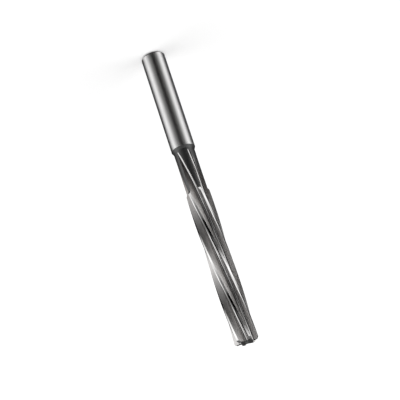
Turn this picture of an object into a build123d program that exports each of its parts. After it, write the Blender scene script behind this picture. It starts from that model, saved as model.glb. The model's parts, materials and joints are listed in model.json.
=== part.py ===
"""Machine reamer, one ground steel tool.

A plain cylindrical shank, a thinner neck and a long cutting part with six teeth on a
left-hand helix. Sizes are in millimetres. The axis of the tool is Z, the flat shank
end is at z = 0 and the cutting end is at the top.
"""

import math
import os

from build123d import *

# the sizes such a tool is ordered by
CUT_D = 11.0  # diameter over the teeth
SHANK_D = 11.0
TOTAL_L = 142.0
CUT_L = 70.361  # teeth at full diameter
NECK_L = 21.2858  # from the foot of the shank's bevel to the full diameter of the teeth
TEETH = 6
HELIX_ANGLE = 9.3  # degrees from the axis, left hand

# the turned and ground blank
NECK_RATIO = 0.875  # neck diameter over cutting diameter
REAR_CONE_ANGLE = 27.0  # degrees from the axis, from the neck up to the rear of the teeth
FRONT_BEVEL_ANGLE = 28.0  # degrees from the axis, from the shank down to the neck
BACK_CHAMFER = 0.85  # at the flat end of the shank, 45 degrees

# one tooth, in a section across the axis
LAND_SHARE = 0.225  # from cutting edge to heel, as a share of the tooth pitch
MARGIN_W = 0.4  # the round strip behind the cutting edge
RELIEF_ANGLE = 13.5  # degrees, how steeply the land falls behind the margin
APEX_RATIO = 0.448  # where back and face would meet, over the cutting radius
ROOT_RATIO = 0.15  # radius of the flute bottom, over the cutting radius
CLEAR_RATIO = 1.4  # how far outside the flute section closes, over the cutting radius

# the way the flute rises out of the neck
RUNOUT_SHARE = 0.96  # of the neck length
RUNOUT_BLEND = 2.75  # length over which the rise sets in
RUNOUT_AIM = 0.77  # direction of the rise behind the cutting edge, share of the pitch

# the lead at the cutting end
LEAD_L = 0.87  # 45 degrees
LEAD_RELIEF = 8.0  # degrees

# the centre holes the tool is ground between
CENTRE_D = 0.9
CENTRE_MOUTH_D = 2.0
CENTRE_DEPTH = 2.2
CENTRE_ANGLE = 60.0

# how closely the twisted flute is followed
TWIST_STEP = 10.0  # degrees between sections along the teeth
RUNOUT_SECTIONS = 6
ROOT_FLATS = 4  # narrow flats that follow the round flute bottom

cut_r = CUT_D / 2
shank_r = SHANK_D / 2
neck_r = cut_r * NECK_RATIO
cut_start = TOTAL_L - CUT_L
shank_l = cut_start - NECK_L  # the shank takes what is left of the length
pitch_angle = 360.0 / TEETH
turn_per_mm = math.degrees(math.tan(math.radians(HELIX_ANGLE)) / cut_r)


def polar(radius, angle):
    """Point in the section, from radius and angle in degrees."""
    return Vector(radius, 0).rotate(Axis.Z, angle)


# the section of one flute: it starts on the relieved land of the tooth ahead of it,
# runs down the back of that tooth and up the radial face of the next tooth
land_angle = LAND_SHARE * pitch_angle
margin_angle = math.degrees(MARGIN_W / cut_r)
relief = math.radians(RELIEF_ANGLE)
heel_r = cut_r * math.cos(relief) / math.cos(math.radians(land_angle - margin_angle) - relief)
margin_end = polar(cut_r, -margin_angle)
heel = polar(heel_r, -land_angle)
land_start = margin_end + (margin_end - heel)
apex = polar(cut_r * APEX_RATIO, -pitch_angle)
face_end = polar(cut_r * CLEAR_RATIO, -pitch_angle)
outside = polar(cut_r * CLEAR_RATIO, -pitch_angle / 2)

# the round bottom joins back and face
back_dir = (heel - apex).normalized()
face_dir = (face_end - apex).normalized()
corner = back_dir.get_angle(face_dir)
half_corner = math.radians(corner / 2)
root_r = cut_r * ROOT_RATIO
root_mid = apex + (back_dir + face_dir).normalized() * (root_r / math.sin(half_corner))
back_foot = apex + back_dir * (root_r / math.tan(half_corner))
flat_turn = (180.0 - corner) / ROOT_FLATS
root = [
    root_mid + (back_foot - root_mid).rotate(Axis.Z, flat_turn * i)
    for i in range(ROOT_FLATS + 1)
]

with BuildSketch() as flute:
    with BuildLine() as outline:
        Polyline(land_start, heel, *root, face_end, outside, close=True)
    make_face()

# the flute bottom has to rise by this much to leave the neck
core_r = outline.wire().distance_to(Vertex(0, 0, 0))
neck_depth = neck_r - core_r
rise_dir = polar(1.0, -RUNOUT_AIM * pitch_angle)
runout_l = NECK_L * RUNOUT_SHARE


def rise(z):
    """How far the flute section has moved outward at the height z."""
    run = max(cut_start - z, 0.0)
    full = runout_l**2 / (runout_l + RUNOUT_BLEND)
    return neck_depth * run**2 / (run + RUNOUT_BLEND) / full


# heights at which the section is set: close together where it rises, then evenly
over_l = LEAD_L * 2
tooth_steps = math.ceil((CUT_L + over_l) * turn_per_mm / TWIST_STEP)
heights = [shank_l + NECK_L * i / RUNOUT_SECTIONS for i in range(RUNOUT_SECTIONS)]
heights += [cut_start + (CUT_L + over_l) * i / tooth_steps for i in range(tooth_steps + 1)]

with BuildPart() as flute_cut:
    for z in heights:
        turn = (TOTAL_L - z) * turn_per_mm
        level = Plane(origin=(0, 0, z), x_dir=polar(1.0, turn), z_dir=(0, 0, 1))
        with BuildSketch(level):
            with Locations(rise_dir * rise(z)):
                add(flute.sketch)
    loft()

# the lead of one tooth: a flat that falls away behind the cutting edge at the end
lead_out = Vector(1, 0, 1).normalized()
lead_plane = Plane(
    origin=(cut_r - LEAD_L / 2, 0, TOTAL_L - LEAD_L / 2),
    x_dir=(1, 0, -1),
    z_dir=lead_out.rotate(Axis((0, 0, 0), (1, 0, -1)), LEAD_RELIEF),
)
lead_w = 3 * LEAD_L
lead_back = cut_r * math.radians(pitch_angle) / 2
lead_front = MARGIN_W

with BuildPart() as lead_cut:
    with BuildSketch(lead_plane):
        with Locations((0, (lead_front - lead_back) / 2)):
            Rectangle(lead_w, lead_front + lead_back)
    extrude(amount=lead_w)

with BuildPart() as reamer:
    # blank, turned about the axis
    rear_cone_l = (cut_r - neck_r) / math.tan(math.radians(REAR_CONE_ANGLE))
    front_bevel_l = (shank_r - neck_r) / math.tan(math.radians(FRONT_BEVEL_ANGLE))
    with BuildSketch(Plane.XZ):
        with BuildLine():
            Polyline(
                (0, 0),
                (shank_r - BACK_CHAMFER, 0),
                (shank_r, BACK_CHAMFER),
                (shank_r, shank_l - front_bevel_l),
                (neck_r, shank_l),
                (neck_r, cut_start - rear_cone_l),
                (cut_r, cut_start),
                (cut_r, TOTAL_L),
                (0, TOTAL_L),
                close=True,
            )
        make_face()
    revolve(axis=Axis.Z)

    # teeth: flutes with the relieved lands, then the lead on each tooth
    with PolarLocations(0, TEETH):
        add(flute_cut.part, mode=Mode.SUBTRACT)
    with PolarLocations(0, TEETH):
        add(lead_cut.part, mode=Mode.SUBTRACT)

    # centre holes in both ends
    for end in (Plane.XY.rotated((180, 0, 0)), Plane.XY.offset(TOTAL_L)):
        with Locations(end):
            CounterSinkHole(CENTRE_D / 2, CENTRE_MOUTH_D / 2, CENTRE_DEPTH, CENTRE_ANGLE)

reamer.part.label = "reamer"

os.makedirs("parts", exist_ok=True)
export_step(reamer.part, "parts/reamer.step")
print("reamer volume mm3", round(reamer.part.volume, 1), "core radius", round(core_r, 3))
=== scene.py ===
# %% [markdown]
# # A machine reamer in ground steel
# A reamer brings a drilled hole to its exact size. It is ground from one bar: a plain
# shank that a chuck holds, a thinner neck, and a long cutting part with six teeth that
# wind around it. The solid model gives the place and the size of everything, so this
# lesson starts by loading it and measuring it.

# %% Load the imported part
import json
import math

import bmesh
import bpy
import numpy as np
from mathutils import Matrix, Vector


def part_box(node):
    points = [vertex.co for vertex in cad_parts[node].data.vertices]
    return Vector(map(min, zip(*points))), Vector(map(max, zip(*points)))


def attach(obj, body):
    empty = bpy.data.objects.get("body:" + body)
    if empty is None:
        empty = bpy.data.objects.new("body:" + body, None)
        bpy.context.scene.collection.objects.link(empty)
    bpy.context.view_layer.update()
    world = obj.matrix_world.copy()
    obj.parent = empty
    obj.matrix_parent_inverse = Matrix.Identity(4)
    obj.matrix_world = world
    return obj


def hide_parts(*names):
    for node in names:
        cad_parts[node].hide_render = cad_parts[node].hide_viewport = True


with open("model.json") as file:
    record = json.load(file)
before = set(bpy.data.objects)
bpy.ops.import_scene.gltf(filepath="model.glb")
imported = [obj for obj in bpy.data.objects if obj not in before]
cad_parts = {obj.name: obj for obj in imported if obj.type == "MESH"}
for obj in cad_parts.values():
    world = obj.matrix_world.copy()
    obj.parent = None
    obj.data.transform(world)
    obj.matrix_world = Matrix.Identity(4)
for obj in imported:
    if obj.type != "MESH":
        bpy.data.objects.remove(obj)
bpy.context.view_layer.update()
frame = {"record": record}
low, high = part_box("reamer")
shank_mount = next(m for m in frame["record"]["mounts"] if m["name"] == "shank")
MM = 0.001
total_l = round((high.z - low.z) / MM, 2)
shank_r = shank_mount["dims"]["r_mm"]
print("the tool is", total_l, "mm long and its shank is", 2 * shank_r, "mm thick")

# %% [markdown]
# ## The sizes of the tool
# The tool is worked out in millimetres and turned into metres when its mesh is made. The
# length comes from the loaded part and the diameter from its shank. The rest are the
# sizes that a tool grinder sets, the same as in the solid: the lengths of teeth and
# neck, the bevels between them, and how steep the helix is.

# %% Sizes in millimetres
FULL_TURN = 360.0
TEETH = 6
HELIX_ANGLE = 9.3
CUT_L = 70.361
NECK_L = 21.2858
NECK_RATIO = 0.875
BACK_CHAMFER = 0.85
FRONT_BEVEL_ANGLE = 28.0
REAR_CONE_ANGLE = 27.0

cut_r = shank_r
neck_r = NECK_RATIO * cut_r
cut_start = total_l - CUT_L
shank_l = cut_start - NECK_L
bevel_start = shank_l - (shank_r - neck_r) / math.tan(math.radians(FRONT_BEVEL_ANGLE))
cone_start = cut_start - (cut_r - neck_r) / math.tan(math.radians(REAR_CONE_ANGLE))
pitch = FULL_TURN / TEETH
turn_per_mm = math.degrees(math.tan(math.radians(HELIX_ANGLE)) / cut_r)
print("shank to", round(shank_l, 2), "mm, teeth from", round(cut_start, 2), "mm")
print("the helix turns", round(turn_per_mm, 3), "degrees a millimetre")

# %% [markdown]
# ## One flute in section
# Across the axis each tooth has a narrow round margin behind its cutting edge, a
# relieved land that falls away from it, a back that runs down to the rounded root, and
# then the radial face of the next tooth. The section could be modelled by hand, but it
# is only straight lines and one curve, so a list of points along it is exact and keeps
# every edge where the grinder would leave it. The corners come first.

# %% Corners of the flute section
LAND_SHARE = 0.225
MARGIN_W = 0.4
RELIEF_ANGLE = 13.5
APEX_RATIO = 0.448
CLEAR_RATIO = 1.4
ROOT_RATIO = 0.15


def polar(radius, degrees):
    """Points in the section from radius and angle."""
    angle = np.radians(degrees)
    return np.stack([radius * np.cos(angle), radius * np.sin(angle)], axis=-1)


def unit(vector):
    """Direction of a vector."""
    return vector / np.linalg.norm(vector)


land_angle = LAND_SHARE * pitch
margin_angle = math.degrees(MARGIN_W / cut_r)
relief = math.radians(RELIEF_ANGLE)
heel_r = cut_r * math.cos(relief) / math.cos(math.radians(land_angle - margin_angle) - relief)
margin_end = polar(cut_r, -margin_angle)
heel = polar(heel_r, -land_angle)
apex = polar(APEX_RATIO * cut_r, -pitch)
face_end = polar(CLEAR_RATIO * cut_r, -pitch)
back_dir = unit(heel - apex)
face_dir = unit(face_end - apex)
corner = math.acos(float(back_dir @ face_dir))
print("behind the margin the land falls by", round(cut_r - heel_r, 2), "mm")
print("back and face meet at", round(math.degrees(corner), 1), "degrees")

# %% [markdown]
# ## The round root and the points
# A sharp corner at the bottom of a flute could crack in hardening, so the wheel leaves a
# round root there. It is an arc that touches the back and the face. Each stretch of the
# section then gets the same number of points, close enough together to find later where
# the flute leaves the blank.

# %% Points along the flute section
FINE = 80
share = np.linspace(0, 1, FINE, endpoint=False)[:, None]


def straight(start, end):
    """Even points from start to end, the end left out."""
    return start + (end - start) * share


root_r = ROOT_RATIO * cut_r
root_set = root_r / math.tan(corner / 2)
back_foot = apex + back_dir * root_set
face_foot = apex + face_dir * root_set
root_mid = apex + unit(back_dir + face_dir) * root_set / math.cos(corner / 2)
fan = unit(back_foot - root_mid) * (1 - share) + unit(face_foot - root_mid) * share
root = root_mid + root_r * fan / np.linalg.norm(fan, axis=1)[:, None]
section = np.concatenate([
    straight(2 * margin_end - heel, heel),
    straight(heel, back_foot),
    root,
    straight(face_foot, face_end),
    face_end[None],
])
core_r = float(np.linalg.norm(section, axis=1).min())
print("the section has", len(section), "points and a core of radius", round(core_r, 2), "mm")

# %% [markdown]
# ## How the section travels
# The grinding wheel follows the helix along the teeth and then lifts out through the
# neck, so the same section is turned a little at each height and, in the neck, also
# moved outward, toward a point between two cutting edges. A sweep along a curve could
# follow the helix, but not this lift, so a short function gives the lift at each height.

# %% Lift of the wheel
RUNOUT_SHARE = 0.96
RUNOUT_BLEND = 2.75
RUNOUT_AIM = 0.77
runout_l = RUNOUT_SHARE * NECK_L
lift_dir = polar(1.0, -RUNOUT_AIM * pitch)


def lift(z):
    """How far the wheel has moved out at the height z."""
    way = max(cut_start - z, 0.0)
    full = runout_l**2 / (runout_l + RUNOUT_BLEND)
    return (neck_r - core_r) * way**2 / (way + RUNOUT_BLEND) / full


print("lift at the shoulder", round(lift(shank_l), 2), "mm")

# %% [markdown]
# ## The blank and the lead
# Before the flutes are ground, the tool is a turned blank: chamfer, shank, bevel, neck,
# cone and cutting part, given here as radius over height. At the cutting end a flat lead
# of 45 degrees is ground on each tooth, and it also falls away behind the cutting edge.
# The flat could be cut with a boolean, but as a formula it keeps the rings tidy. It
# counts from three quarters of a pitch behind its edge to a quarter ahead of it.

# %% Outside of the blank
LEAD_L = 0.87
LEAD_RELIEF = math.radians(8.0)
LEAD_REACH = 0.75
blank = np.array([
    (0.0, shank_r - BACK_CHAMFER),
    (BACK_CHAMFER, shank_r),
    (bevel_start, shank_r),
    (shank_l, neck_r),
    (cone_start, neck_r),
    (cut_start, cut_r),
    (total_l, cut_r),
])


def outside(z, degrees):
    """Radius of the blank at the height z, with the lead of the nearest tooth."""
    radius = np.full(np.shape(degrees), np.interp(z, blank[:, 0], blank[:, 1]))
    from_edge = np.asarray(degrees) + (total_l - z) * turn_per_mm
    behind = np.radians((from_edge + LEAD_REACH * pitch) % pitch - LEAD_REACH * pitch)
    flat = math.cos(LEAD_RELIEF) / math.sqrt(2)
    reach = flat * (cut_r - LEAD_L / 2) + flat * (total_l - LEAD_L / 2 - z)
    slope = flat * np.cos(behind) - math.sin(LEAD_RELIEF) * np.sin(behind)
    return np.minimum(radius, reach / slope)


print("radius at the end of a cutting edge", round(float(outside(total_l, 0.0)), 2), "mm")

# %% [markdown]
# ## One ring of the tool
# At each height the flute is cut off where it leaves the blank, and the points are
# spread again over land, relief, back, root and face. Because every ring has the same
# number of points on each of these, the rings join into clean strips of faces, and the
# edges stay crisp. Below the run-out the flute shrinks to a single point.

# %% Helpers for a ring
LAND, RELIEF, BACK, ROOT, FACE = 14, 4, 12, 16, 8
columns = LAND + RELIEF + BACK + ROOT + FACE
spans = [(i * FINE, (i + 1) * FINE, steps) for i, steps in enumerate((RELIEF, BACK, ROOT, FACE))]


def spun(points, degrees):
    """Points of a section turned about the axis."""
    angle = math.radians(degrees)
    turn = [[math.cos(angle), math.sin(angle)], [-math.sin(angle), math.cos(angle)]]
    return points @ np.array(turn)


def crossing(gap, outer, inner):
    """Place between two section points where the flute meets the blank."""
    return outer + (inner - outer) * gap[outer] / (gap[outer] - gap[inner])


print("one pitch has", columns, "columns of faces")

# %% Ring of one pitch
def pitch_ring(z):
    """Points of one pitch at the height z, and whether the flute cuts in there."""
    moved = section + lift_dir * lift(z)
    radius = np.linalg.norm(moved, axis=1)
    degrees = np.degrees(np.arctan2(moved[:, 1], moved[:, 0]))
    gap = radius - outside(z, degrees)
    cut = np.flatnonzero(gap < 0) if z > shank_l else []
    if len(cut):
        first = crossing(gap, cut[0] - 1, cut[0])
        last = crossing(gap, cut[-1] + 1, cut[-1])
    else:
        first = last = float(np.argmin(gap))
    places = [np.array([first])]
    for start, end, steps in spans:
        places.append(np.linspace(*np.clip([start, end], first, last), steps + 1)[1:])
    places = np.concatenate(places)
    index = np.arange(len(section))
    flute = np.stack([np.interp(places, index, moved[:, i]) for i in (0, 1)], axis=-1)
    if not len(cut):
        flute *= outside(z, degrees[int(first)]) / radius[int(first)]
    ends = np.degrees(np.arctan2(flute[[0, -1], 1], flute[[0, -1], 0]))
    land = np.linspace(ends[1] + pitch, ends[0], LAND + 1)[:-1]
    points = np.concatenate([polar(outside(z, land), land), flute])
    return spun(points, (total_l - z) * turn_per_mm), bool(len(cut))


print("a ring has", TEETH * (len(pitch_ring(total_l)[0]) - 1), "points")

# %% [markdown]
# ## Where the flutes come to a point
# In the neck the two sides of a flute run together in a point. It has no simple formula,
# but a ring can say whether the flute still cuts into the blank at its height. Halving
# the neck again and again with that question finds the point quickly.

# %% Tip of the run-out
HALVINGS = 30
inside, beyond = cut_start, shank_l
for _ in range(HALVINGS):
    middle = (inside + beyond) / 2
    if pitch_ring(middle)[1]:
        inside = middle
    else:
        beyond = middle
tip_z = beyond
print("the flutes come to a point at", round(tip_z, 2), "mm")

# %% [markdown]
# ## Heights of the rings
# The shank is straight, so it needs few rings. Along the teeth a ring every half
# millimetre follows the twist, and more of them stand close together near the point of
# the flutes and on the lead, where the shape changes most.

# %% Ring heights
TOOTH_STEP = 0.5
NECK_STEP = 0.3
TIP_ZONE, TIP_RINGS = 1.2, 10
LEAD_ZONE, LEAD_RINGS = 1.6 * LEAD_L, 20
SHANK_RINGS, BEVEL_RINGS, PLAIN_NECK_RINGS, CONE_RINGS = 24, 3, 5, 6
HEIGHT_DIGITS = 4
near_tip = tip_z + TIP_ZONE * np.linspace(0, 1, TIP_RINGS) ** 2
lead_low = total_l - LEAD_ZONE
heights = np.unique(np.round(np.concatenate([
    [0.0],
    np.linspace(BACK_CHAMFER, bevel_start, SHANK_RINGS),
    np.linspace(bevel_start, shank_l, BEVEL_RINGS),
    np.linspace(shank_l, tip_z, PLAIN_NECK_RINGS),
    near_tip,
    np.arange(near_tip[-1], cone_start, NECK_STEP),
    np.linspace(cone_start, cut_start, CONE_RINGS),
    np.arange(cut_start, lead_low, TOOTH_STEP),
    np.linspace(lead_low, total_l, LEAD_RINGS),
]), HEIGHT_DIGITS))
rings = [pitch_ring(z)[0] for z in heights]
print(len(rings), "rings from", heights[0], "to", heights[-1], "mm")

# %% [markdown]
# ## Which finish goes where
# The shank, the lands and the roots of the flutes are ground fine. The neck and the bevel
# in front of the shank keep the dark skin of hardening, the backs and faces of the teeth
# are ground coarser, and the lead, the chamfer and the end faces are dark. The faces
# could be picked by hand, but height and column already say where each one lies.

# %% Finish of a face
SHANK, NECK, LANDS, FLUTES, ENDS = range(5)
CLOSE = 1e-3
LEAD_DROP = 0.02
root_first = LAND + RELIEF + BACK


def finish_at(ring, column):
    """Finish of the face below a ring, in one column of a pitch."""
    z = heights[ring]
    on_land = column < LAND
    if on_land and z > lead_low and np.hypot(*rings[ring][column]) < cut_r - LEAD_DROP:
        return ENDS
    if z <= BACK_CHAMFER + CLOSE:
        return ENDS
    if z <= bevel_start + CLOSE:
        return SHANK
    if z <= cone_start + CLOSE and (on_land or z <= shank_l):
        return NECK
    on_root = root_first <= column < root_first + ROOT
    return LANDS if column < LAND + RELIEF or on_root else FLUTES


print("five finishes; the roots are columns", root_first, "to", root_first + ROOT - 1)

# %% [markdown]
# ## The skin of the tool
# The rings are copied around the axis for all six teeth and joined into faces. A map of
# the surface is kept with them: across the section in millimetres one way, along the
# tool the other way. The grinding marks follow that map later. It is shifted from tooth
# to tooth, so that no two teeth show the same marks.

# %% Points, faces and surface map
MAP_SHIFT = 60.0
around = columns * TEETH
verts = []
for z, ring in zip(heights, rings):
    for tooth in range(TEETH):
        verts += [(x * MM, y * MM, z * MM) for x, y in spun(ring[:-1], -pitch * tooth)]

across = []
for ring in rings:
    steps = np.linalg.norm(np.diff(ring, axis=0), axis=1)
    across.append(np.concatenate([[0], np.cumsum(steps)]))

faces, finishes, surface_map = [], [], []
for i in range(len(heights) - 1):
    below, above = i * around, (i + 1) * around
    for j in range(around):
        tooth, column = divmod(j, columns)
        k = (j + 1) % around
        faces.append((below + k, below + j, above + j, above + k))
        finishes.append(finish_at(i + 1, column))
        for level, side in ((i, 1), (i, 0), (i + 1, 0), (i + 1, 1)):
            surface_map += [across[level][column + side] + tooth * MAP_SHIFT, heights[level]]
print(len(verts), "points and", len(faces), "faces on the skin")

# %% [markdown]
# ## One mesh for the whole tool
# The tool is one piece of steel, so all its faces go into one mesh. The map becomes a UV
# layer and the finish of each face its material number. Both are handed over in one go,
# which is much quicker than face by face.

# %% Mesh object
MAP_NAME = "ground_surface"
mesh = bpy.data.meshes.new("reamer_body")
mesh.from_pydata(verts, [], faces)
layer = mesh.uv_layers.new(name=MAP_NAME)
layer.data.foreach_set("uv", np.array(surface_map, dtype=np.float32))
mesh.polygons.foreach_set("material_index", finishes)
body = bpy.data.objects.new("reamer_body", mesh)
bpy.context.collection.objects.link(body)
print("made", body.name, "with the map", layer.name)

# %% [markdown]
# ## The two ends
# A reamer is ground between centres, so each end has a small countersunk hole of 60
# degrees. The flat ends could be separate discs, but the tool is one piece, so the end
# faces are filled between the outline of the skin and the mouth of the hole, and the
# hole is a cone that goes on into a short bore.

# %% Functions for an end with a centre hole
MOUTH_R, BORE_R, BORE_DEPTH = 1.0, 0.45, 2.2
CENTRE_ANGLE = 60.0
HOLE_STEPS = 48
SAME_LEVEL = 1e-7
cone_depth = (MOUTH_R - BORE_R) / math.tan(math.radians(CENTRE_ANGLE / 2))
hole_profile = ((MOUTH_R, 0.0), (BORE_R, cone_depth), (BORE_R, BORE_DEPTH))


def hole_ring(bm, radius, z):
    """Circle of points in the centre hole."""
    turns = [2 * math.pi * i / HOLE_STEPS for i in range(HOLE_STEPS)]
    size = radius * MM
    return [bm.verts.new((size * math.cos(a), size * math.sin(a), z * MM)) for a in turns]


def close_end(bm, z, inward):
    """Fills one end of the skin and sinks the centre hole into it."""
    rim = []
    for edge in bm.edges:
        level = all(abs(v.co.z - z * MM) < SAME_LEVEL for v in edge.verts)
        if edge.is_boundary and level:
            rim.append(edge)
    hoops = [hole_ring(bm, radius, z + inward * depth) for radius, depth in hole_profile]
    made = []
    for upper, lower in zip(hoops[:-1], hoops[1:]):
        for i in range(HOLE_STEPS):
            j = (i + 1) % HOLE_STEPS
            made.append(bm.faces.new((upper[i], upper[j], lower[j], lower[i])))
    made.append(bm.faces.new(hoops[-1]))
    lip = hoops[0]
    mouth = [bm.edges.get((lip[i], lip[(i + 1) % HOLE_STEPS])) for i in range(HOLE_STEPS)]
    filled = bmesh.ops.triangle_fill(bm, use_beauty=True, edges=rim + mouth)
    made += [f for f in filled["geom"] if isinstance(f, bmesh.types.BMFace)]
    for face in made:
        face.material_index = ENDS


print("the cone of a centre hole is", round(cone_depth, 2), "mm deep")

# %% [markdown]
# ## Closing the skin
# Where a flute has shrunk to a point, several points of a ring lie on one spot. They are
# welded first, and then both ends are closed. Faces that meet at a small angle are shaded
# smooth, and the edges of lands, faces and bevels stay sharp, as a wheel leaves them.

# %% Weld, close and shade
WELD = 0.002 * MM
SHARP_ANGLE = math.radians(8.5)
bm = bmesh.new()
bm.from_mesh(mesh)
bmesh.ops.remove_doubles(bm, verts=bm.verts, dist=WELD)
close_end(bm, 0.0, 1)
close_end(bm, total_l, -1)
bmesh.ops.recalc_face_normals(bm, faces=bm.faces)
open_edges = sum(not e.is_manifold for e in bm.edges)
bm.to_mesh(mesh)
bm.free()
mesh.shade_smooth()
mesh.set_sharp_from_angle(angle=SHARP_ANGLE)
print("the tool has", len(mesh.polygons), "faces and", open_edges, "open edges")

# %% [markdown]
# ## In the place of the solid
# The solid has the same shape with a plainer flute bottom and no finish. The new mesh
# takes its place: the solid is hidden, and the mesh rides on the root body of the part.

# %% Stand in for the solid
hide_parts("reamer")
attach(body, "root")
print(body.name, "stands for the solid")

# %% [markdown]
# ## Small helpers for nodes
# A finish is a net of nodes, and most of its steps are sums, blends and ranges of values.
# They could be added one by one in the editor. A few short functions write such a step
# in one line instead, and take a number or the output of another node alike.

# %% Helpers for nodes
def feed(tree, socket, value):
    """Links a socket to an output, or sets it to a value."""
    if isinstance(value, bpy.types.NodeSocket):
        tree.links.new(value, socket)
    else:
        socket.default_value = value


def math_node(tree, operation, *values):
    """Output of a calculation with two or three values."""
    node = tree.nodes.new("ShaderNodeMath")
    node.operation = operation
    for socket, value in zip(node.inputs, values):
        feed(tree, socket, value)
    return node.outputs[0]


def blend(tree, factor, first, second, colours=False):
    """Output of a blend between two values, or between two colours."""
    node = tree.nodes.new("ShaderNodeMix")
    node.data_type = "RGBA" if colours else "FLOAT"
    kind = "Color" if colours else "Float"
    sockets = {socket.identifier: socket for socket in node.inputs}
    feed(tree, sockets["Factor_Float"], factor)
    feed(tree, sockets["A_" + kind], first)
    feed(tree, sockets["B_" + kind], second)
    return next(s for s in node.outputs if s.identifier == "Result_" + kind)


def ranged(tree, value, start, end, low_level=0.0, high_level=1.0, smooth=False):
    """Output that goes from one level to another while the value goes from start to end."""
    node = tree.nodes.new("ShaderNodeMapRange")
    node.interpolation_type = "SMOOTHSTEP" if smooth else "LINEAR"
    for socket, number in zip(node.inputs, (value, start, end, low_level, high_level)):
        feed(tree, socket, number)
    return node.outputs[0]


def length_of(tree, vector):
    """Output with the length of a vector."""
    node = tree.nodes.new("ShaderNodeVectorMath")
    node.operation = "LENGTH"
    tree.links.new(vector, node.inputs[0])
    return node.outputs["Value"]


print("helpers for nodes are ready")

# %% [markdown]
# ## Grinding marks
# Ground steel is covered in fine parallel scratches. On the shank and the neck they run
# around the tool, on the teeth and in the flutes along it. Painting them as a picture
# would fix their size, so one node group makes them from stretched noise on the surface
# map, and each finish sets how fine they are and which way they run.

# %% Helpers for node groups
def new_group(name, inputs, output):
    """Empty shader node group with named values in and one value out."""
    tree = bpy.data.node_groups.new(name, "ShaderNodeTree")
    for title, default in inputs.items():
        socket = tree.interface.new_socket(title, in_out="INPUT", socket_type="NodeSocketFloat")
        socket.default_value = default
    tree.interface.new_socket(output, in_out="OUTPUT", socket_type="NodeSocketFloat")
    entry = tree.nodes.new("NodeGroupInput").outputs
    return tree, entry, tree.nodes.new("NodeGroupOutput").inputs[output]


def on_the_map(tree):
    """Place on the surface map, as a vector and as its two parts."""
    uv = tree.nodes.new("ShaderNodeUVMap")
    uv.uv_map = MAP_NAME
    parts = tree.nodes.new("ShaderNodeSeparateXYZ")
    tree.links.new(uv.outputs["UV"], parts.inputs[0])
    return uv.outputs["UV"], parts.outputs["X"], parts.outputs["Y"]


print("node groups read the map", MAP_NAME)

# %% Node group for the grinding marks
MARK_DETAIL = 4.0
MARK_ROUGHNESS = 0.65
marks, given, marks_out = new_group(
    "grinding_marks",
    {"Marks per mm": 8.0, "Mark length mm": 20.0, "Around the tool": 0.0},
    "Marks",
)
_, map_x, map_y = on_the_map(marks)
fine = blend(marks, given["Around the tool"], map_x, map_y)
long = blend(marks, given["Around the tool"], map_y, map_x)
place = marks.nodes.new("ShaderNodeCombineXYZ")
feed(marks, place.inputs["X"], math_node(marks, "MULTIPLY", fine, given["Marks per mm"]))
feed(marks, place.inputs["Y"], math_node(marks, "DIVIDE", long, given["Mark length mm"]))
scratch = marks.nodes.new("ShaderNodeTexNoise")
scratch.noise_dimensions = "2D"
scratch.inputs["Scale"].default_value = 1.0
scratch.inputs["Detail"].default_value = MARK_DETAIL
scratch.inputs["Roughness"].default_value = MARK_ROUGHNESS
feed(marks, scratch.inputs["Vector"], place.outputs[0])
feed(marks, marks_out, scratch.outputs[0])
print("made the group", marks.name)

# %% [markdown]
# ## Film of handling
# No tool stays evenly bright. A thin film of oil and the heat of grinding leave soft
# cloudy patches that are a little duller and warmer. A second group makes these clouds
# from noise on the object itself, so they do not follow the scratches.

# %% Node group for the film
FILM_DETAIL = 3.0
FILM_START, FILM_FULL = 0.35, 0.7
film, given, film_out = new_group("handling_film", {"Cloud size mm": 9.0}, "Film")
spot = film.nodes.new("ShaderNodeTexCoord")
clouds = film.nodes.new("ShaderNodeTexNoise")
clouds.inputs["Detail"].default_value = FILM_DETAIL
feed(film, clouds.inputs["Vector"], spot.outputs["Object"])
feed(film, clouds.inputs["Scale"], math_node(film, "DIVIDE", 1 / MM, given["Cloud size mm"]))
feed(film, film_out, ranged(film, clouds.outputs[0], FILM_START, FILM_FULL))
print("made the group", film.name)

# %% [markdown]
# ## Stain of the run-out
# Where the wheel lifts out of the neck it rubs more than it cuts, so the end of each
# flute is darker and browner than the rest. A dark strip could be painted there, but the
# stain fades along the tool, so a third group turns the height on the surface map into a
# mask with a cloudy edge.

# %% Node group for the stain
DRIFT_SCALE = 0.4
DRIFT_MM = 6.0
stain, given, stain_out = new_group(
    "wheel_stain", {"Clean from mm": 80.0, "Full at mm": 60.0}, "Stain")
map_place, _, map_y = on_the_map(stain)
drift = stain.nodes.new("ShaderNodeTexNoise")
drift.inputs["Scale"].default_value = DRIFT_SCALE
feed(stain, drift.inputs["Vector"], map_place)
drifted = math_node(stain, "MULTIPLY_ADD", drift.outputs[0], DRIFT_MM, map_y)
faded = ranged(stain, drifted, given["Clean from mm"], given["Full at mm"], smooth=True)
feed(stain, stain_out, faded)
print("made the group", stain.name)

# %% [markdown]
# ## Painted shade at the bottom of the flutes
# The bottom of a flute lies deep between the teeth, and its shade is painted into the
# colour beside the polished root. A fourth group turns the distance from the axis into a
# mask, so the painted dark strip follows the bottom of every flute around the tool.

# %% Node group for the painted shade
# painted shade: a mask that darkens the colour near the bottom of every flute
painted_shade_group, given, painted_shade_out = new_group(
    "flute_painted_shade", {"Clean at mm": 4.0, "Full at mm": 3.2}, "Painted shade")
spot = painted_shade_group.nodes.new("ShaderNodeTexCoord")
flat = painted_shade_group.nodes.new("ShaderNodeVectorMath")
flat.operation = "MULTIPLY"
flat.inputs[1].default_value = (1 / MM, 1 / MM, 0)
feed(painted_shade_group, flat.inputs[0], spot.outputs["Object"])
from_axis = length_of(painted_shade_group, flat.outputs[0])
faded = ranged(painted_shade_group, from_axis, given["Clean at mm"], given["Full at mm"], smooth=True)
feed(painted_shade_group, painted_shade_out, faded)
print("made the group", painted_shade_group.name)

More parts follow.
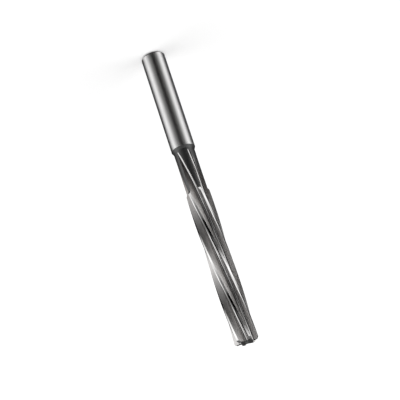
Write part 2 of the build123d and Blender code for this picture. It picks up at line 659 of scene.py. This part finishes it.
# %% [markdown]
# ## Five finishes of one steel
# The whole tool is the same metal, and what differs is how each place was worked. Five
# separate materials could be wired by hand. One function does it for all of them: the
# marks and the film together blend between a bright and a dull colour, roughen the
# surface a little, and the marks alone give it a very fine relief.

# %% Function for a steel finish
WEAR_BLEND = 0.5
MARK_DEPTH = 0.01 * MM


def place_group(tree, group, settings):
    """Places a node group in a material and sets its inputs."""
    node = tree.nodes.new("ShaderNodeGroup")
    node.node_tree = group
    for title, value in settings.items():
        node.inputs[title].default_value = value
    return node.outputs[0]


def steel(name, bright, dull, rough, rough_spread, marks_per_mm, mark_l, around_tool, bump):
    """Metal whose colour, gloss and relief follow the grinding marks and the film."""
    material = bpy.data.materials.new(name)
    material.use_nodes = True
    tree = material.node_tree
    shader = tree.nodes["Principled BSDF"]
    shader.inputs["Metallic"].default_value = 1.0
    lines = place_group(tree, marks, {
        "Marks per mm": marks_per_mm,
        "Mark length mm": mark_l,
        "Around the tool": around_tool,
    })
    worn = blend(tree, WEAR_BLEND, lines, place_group(tree, film, {}))
    colour = blend(tree, worn, (*bright, 1), (*dull, 1), colours=True)
    feed(tree, shader.inputs["Base Color"], colour)
    gloss = math_node(tree, "MULTIPLY_ADD", worn, rough_spread, rough)
    feed(tree, shader.inputs["Roughness"], gloss)
    scratches = tree.nodes.new("ShaderNodeBump")
    scratches.inputs["Strength"].default_value = bump
    scratches.inputs["Distance"].default_value = MARK_DEPTH
    feed(tree, scratches.inputs["Height"], lines)
    feed(tree, shader.inputs["Normal"], scratches.outputs[0])
    return material


print("a finish uses the groups", marks.name, "and", film.name)

# %% [markdown]
# ## The finish of each place
# The shank is bright with a soft gloss, and the lands are finer still and nearly mirror
# what is around them. The neck is dark and matt from hardening, the flutes are coarser
# and duller than the lands, and the lead and the ends are dark with some gloss. The order
# of the list is the order of the material numbers that the faces got above.

# %% Finishes of shank, neck, lands, flutes and ends
finish_plan = [
    dict(name="ground_shank", bright=(0.80, 0.795, 0.79), dull=(0.68, 0.675, 0.67),
         rough=0.26, rough_spread=0.08, marks_per_mm=9.0, mark_l=30.0, around_tool=1.0, bump=0.25),
    dict(name="hardened_neck", bright=(0.16, 0.16, 0.16), dull=(0.10, 0.10, 0.10),
         rough=0.42, rough_spread=0.1, marks_per_mm=6.0, mark_l=12.0, around_tool=1.0, bump=0.4),
    dict(name="ground_lands", bright=(0.80, 0.795, 0.79), dull=(0.70, 0.69, 0.685),
         rough=0.08, rough_spread=0.08, marks_per_mm=10.0, mark_l=6.0, around_tool=0.0, bump=0.2),
    dict(name="ground_flutes", bright=(0.76, 0.745, 0.735), dull=(0.64, 0.625, 0.615),
         rough=0.38, rough_spread=0.1, marks_per_mm=7.0, mark_l=14.0, around_tool=0.0, bump=0.4),
    dict(name="turned_ends", bright=(0.13, 0.13, 0.13), dull=(0.07, 0.07, 0.07),
         rough=0.25, rough_spread=0.1, marks_per_mm=6.0, mark_l=5.0, around_tool=0.0, bump=0.3),
]
for finish in finish_plan:
    mesh.materials.append(steel(**finish))
print("finishes:", [m.name for m in mesh.materials])

# %% [markdown]
# ## Stain and painted shade on the flutes
# The flutes alone are stained where they run out and darkened at the bottom by painted
# shade. Both are laid over the steel as a darker colour, one after the other, each through
# the mask of its group.

# %% Dark colours over the flutes
STAIN_COLOUR = (0.29, 0.272, 0.26, 1)
STAIN_CLEAN, STAIN_FULL = cut_start + 12.0, cut_start - 4.0
# colour and radii of the painted shade at the bottom of the flutes
PAINTED_SHADE_COLOUR = (0.26, 0.25, 0.245, 1)
PAINTED_SHADE_CLEAN, PAINTED_SHADE_FULL = 3.7, 3.1


def lay_over(material, group, settings, colour):
    """Lays a colour over the base colour of a finish, through the mask of a group."""
    tree = material.node_tree
    base = tree.nodes["Principled BSDF"].inputs["Base Color"]
    under = base.links[0].from_socket
    mask = place_group(tree, group, settings)
    feed(tree, base, blend(tree, mask, under, colour, colours=True))


flute_steel = mesh.materials[FLUTES]
lay_over(flute_steel, stain,
         {"Clean from mm": STAIN_CLEAN, "Full at mm": STAIN_FULL}, STAIN_COLOUR)
# painted shade: darker colour at the bottom of every flute
lay_over(flute_steel, painted_shade_group,
         {"Clean at mm": PAINTED_SHADE_CLEAN, "Full at mm": PAINTED_SHADE_FULL}, PAINTED_SHADE_COLOUR)
print(flute_steel.name, "has", len(flute_steel.node_tree.nodes), "nodes")

# %% [markdown]
# ## Camera
# The photograph looks down at the tool from about 21 degrees and holds it head down, so
# the camera is turned around its own axis. Its distance, lens and turn were fitted to
# the places of the shoulders and ends in the picture.

# %% Camera
VIEW_SIDE = math.radians(-107.3)
VIEW_RISE = math.radians(21.13)
VIEW_TURN = math.radians(180 - 18.3)
VIEW_DISTANCE = 565.2 * MM
AIM_Z = 74.43 * MM
SENSOR_W = 36.0
FOCAL_PX, IMAGE_PX = 1285.5, 400
NEAR_CLIP = 0.01

aim = Vector((0, 0, AIM_Z))
back = Vector((
    math.cos(VIEW_SIDE) * math.cos(VIEW_RISE),
    math.sin(VIEW_SIDE) * math.cos(VIEW_RISE),
    math.sin(VIEW_RISE),
))
right = Vector((0, 0, 1)).cross(back).normalized()
up = back.cross(right)
cam_x = math.cos(VIEW_TURN) * right + math.sin(VIEW_TURN) * up
cam_y = back.cross(cam_x)
camera = bpy.data.objects.new("camera", bpy.data.cameras.new("camera"))
camera.data.sensor_width = SENSOR_W
camera.data.lens = SENSOR_W * FOCAL_PX / IMAGE_PX
camera.data.clip_start = NEAR_CLIP
turned = Matrix((cam_x, cam_y, back)).transposed().to_4x4()
camera.matrix_world = Matrix.Translation(aim + back * VIEW_DISTANCE) @ turned
bpy.context.collection.objects.link(camera)
bpy.context.scene.camera = camera
bpy.context.scene.view_settings.view_transform = "Standard"
print("the lens is", round(camera.data.lens, 1), "mm")

# %% [markdown]
# ## White floor
# The photograph has a plain white ground. Bright lamps could bleach a grey floor, but
# they would light the tool as well. So the floor is pale paper that also glows a little
# for the rays that are seen, less near the tool, where its soft shadow has to show. The
# metal does not mirror this floor: it mirrors the cards that are set up further below.

# %% Helpers for the stage
WHITE = (1, 1, 1, 1)


def bare_material(name):
    """Material without any nodes yet."""
    material = bpy.data.materials.new(name)
    material.use_nodes = True
    material.node_tree.nodes.clear()
    return material


def seen_rays(tree):
    """1 for the rays of the camera, of reflections and through glass, and 0 for the rest."""
    path = tree.nodes.new("ShaderNodeLightPath").outputs
    seen = math_node(tree, "ADD", path["Is Camera Ray"], path["Is Glossy Ray"])
    return math_node(tree, "ADD", seen, path["Is Transmission Ray"])


def glow(tree, colour, strength):
    """Shader that gives off light."""
    node = tree.nodes.new("ShaderNodeEmission")
    feed(tree, node.inputs["Color"], colour)
    feed(tree, node.inputs["Strength"], strength)
    return node.outputs[0]


def show_sum(tree, first, second):
    """Puts the sum of two shaders on the surface."""
    both = tree.nodes.new("ShaderNodeAddShader")
    feed(tree, both.inputs[0], first)
    feed(tree, both.inputs[1], second)
    surface = tree.nodes.new("ShaderNodeOutputMaterial").inputs["Surface"]
    feed(tree, surface, both.outputs[0])


print("helpers for the stage are ready")

# %% Floor
FLOOR_R = 3.0
FLOOR_SIDES = 96
PAPER_GREY = (0.85, 0.85, 0.85, 1)
GLOW_NEAR, GLOW_FAR = 0.34, 0.70
GLOW_REACH = 1.0
bpy.ops.mesh.primitive_circle_add(
    vertices=FLOOR_SIDES, radius=FLOOR_R, fill_type="NGON", location=(0, 0, low.z))
floor = bpy.context.object
floor.name = "floor"
floor.visible_glossy = False
paper = bare_material("white_paper")
tree = paper.node_tree
from_tool = length_of(tree, tree.nodes.new("ShaderNodeNewGeometry").outputs["Position"])
level = ranged(tree, from_tool, 0.0, GLOW_REACH, GLOW_NEAR, GLOW_FAR)
matt = tree.nodes.new("ShaderNodeBsdfDiffuse")
matt.inputs["Color"].default_value = PAPER_GREY
paper_glow = glow(tree, WHITE, math_node(tree, "MULTIPLY", seen_rays(tree), level))
show_sum(tree, paper_glow, matt.outputs[0])
floor.data.materials.append(paper)
print("the floor reaches", FLOOR_R, "m around the tool")

# %% [markdown]
# ## Light of the room
# Behind the floor the world is white to the camera, and it gives the scene a low even
# light. Two large soft lamps, one on each side, throw the faint soft shadow at the foot of
# the tool. The lamps are hidden from reflections, because the cards take that part.

# %% World and lamps
WORLD_LIGHT, WORLD_WHITE = 0.4, 1.0
LAMP_SIZE, LAMP_POWER = 1.0, 4.0
LAMP_REACH, LAMP_Z = 0.7, 0.8
lamp_sides = {"left_softbox": 100.0, "right_softbox": -80.0}

world = bpy.data.worlds.new("studio")
bpy.context.scene.world = world
world.use_nodes = True
tree = world.node_tree
backdrop = tree.nodes["Background"]
backdrop.inputs["Color"].default_value = WHITE
strength = blend(tree, seen_rays(tree), WORLD_LIGHT, WORLD_WHITE)
feed(tree, backdrop.inputs["Strength"], strength)

for name, side in lamp_sides.items():
    lamp = bpy.data.lights.new(name, "AREA")
    lamp.size = LAMP_SIZE
    lamp.energy = LAMP_POWER
    angle = VIEW_SIDE + math.radians(side)
    holder = bpy.data.objects.new(name, lamp)
    holder.location = (LAMP_REACH * math.cos(angle), LAMP_REACH * math.sin(angle), LAMP_Z)
    holder.rotation_euler = (aim - holder.location).to_track_quat("-Z", "Y").to_euler()
    holder.visible_glossy = False
    bpy.context.collection.objects.link(holder)
print("the world and", len(lamp_sides), "lamps are set")

# %% [markdown]
# ## Cards around the tool
# Bright metal shows what stands around it, so a product photographer surrounds a tool
# with white cards and leaves dark gaps between them. Here the cards are one tall drum
# that only reflections can see: white to the left and right, dark in front, dim behind.
# Levels are given by the angle from the camera, and a colour ramp blends between them.

# %% Plan of the cards
REAR_FILL = 0.10
left_card = [
    (-118, 0.0), (-102, 0.65), (-90, 0.92), (-72, 1.3), (-48, 0.53), (-34, 0.2), (-17, 0.16),
]
dark_gap = [(-12, 0.0), (14, 0.0)]
right_card = [(24, 0.11), (38, 0.1), (54, 0.74), (75, 1.33), (96, 0.7), (112, 0.0)]
card_plan = [(-180, REAR_FILL), (-156, REAR_FILL), (-144, 0.0)]
card_plan += left_card + dark_gap + right_card
card_plan += [(126, 0.0), (140, REAR_FILL), (180, REAR_FILL)]
print("the plan has", len(card_plan), "steps of light around the tool")

# %% [markdown]
# ## The drum
# The camera looks down, so the sides of the tool mirror what lies lower than they stand.
# The drum therefore reaches below the floor. The camera does not see it, and it throws
# neither light nor shadow on the floor.

# %% Drum around the tool
DRUM_R, DRUM_LOW, DRUM_HIGH = 0.5, -0.4, 0.6
DRUM_SIDES = 128
bpy.ops.mesh.primitive_cylinder_add(
    vertices=DRUM_SIDES, radius=DRUM_R, depth=DRUM_HIGH - DRUM_LOW,
    location=(0, 0, (DRUM_LOW + DRUM_HIGH) / 2))
drum = bpy.context.object
drum.name = "card_drum"
for kind in ("camera", "diffuse", "transmission", "shadow", "volume_scatter"):
    setattr(drum, "visible_" + kind, False)
print("the drum stands from", DRUM_LOW, "to", DRUM_HIGH, "m")

# %% [markdown]
# ## Light of the cards
# The ramp runs once around the drum, with the side of the camera in its middle, and each
# step of the plan becomes one of its stops. The cards grow brighter upward, so that the
# teeth shine more than the shank, and one more card overhead keeps the end face and the
# lead from going black.

# %% Light of the cards
RAMP_MIDDLE = 0.5
LOW_CARD_Z, LOW_CARD_LEVEL = -0.19, 0.98
HIGH_CARD_Z, HIGH_CARD_LEVEL = -0.04, 1.2
OVERHEAD_START, OVERHEAD_FULL, OVERHEAD_LEVEL = 0.43, 0.59, 0.8
cards = bare_material("cards")
cards.cycles.emission_sampling = "NONE"
tree = cards.node_tree
facing = tree.nodes.new("ShaderNodeVectorRotate")
facing.rotation_type = "Z_AXIS"
facing.inputs["Angle"].default_value = -VIEW_SIDE
feed(tree, facing.inputs["Vector"], tree.nodes.new("ShaderNodeNewGeometry").outputs["Position"])
parts = tree.nodes.new("ShaderNodeSeparateXYZ")
feed(tree, parts.inputs[0], facing.outputs[0])
angle = math_node(tree, "ARCTAN2", parts.outputs["Y"], parts.outputs["X"])
place = math_node(tree, "MULTIPLY_ADD", angle, -1 / math.tau, RAMP_MIDDLE)
ramp = tree.nodes.new("ShaderNodeValToRGB")
feed(tree, ramp.inputs[0], place)
while len(ramp.color_ramp.elements) < len(card_plan):
    ramp.color_ramp.elements.new(RAMP_MIDDLE)
for stop, (degrees, level) in zip(ramp.color_ramp.elements, card_plan):
    stop.position = degrees / FULL_TURN + RAMP_MIDDLE
    stop.color = (level, level, level, 1)
height = parts.outputs["Z"]
upward = ranged(tree, height, LOW_CARD_Z, HIGH_CARD_Z, LOW_CARD_LEVEL, HIGH_CARD_LEVEL)
overhead = ranged(tree, height, OVERHEAD_START, OVERHEAD_FULL, 0.0, OVERHEAD_LEVEL)
show_sum(tree, glow(tree, ramp.outputs["Color"], upward), glow(tree, WHITE, overhead))
drum.data.materials.append(cards)
print("the ramp has", len(ramp.color_ramp.elements), "stops")
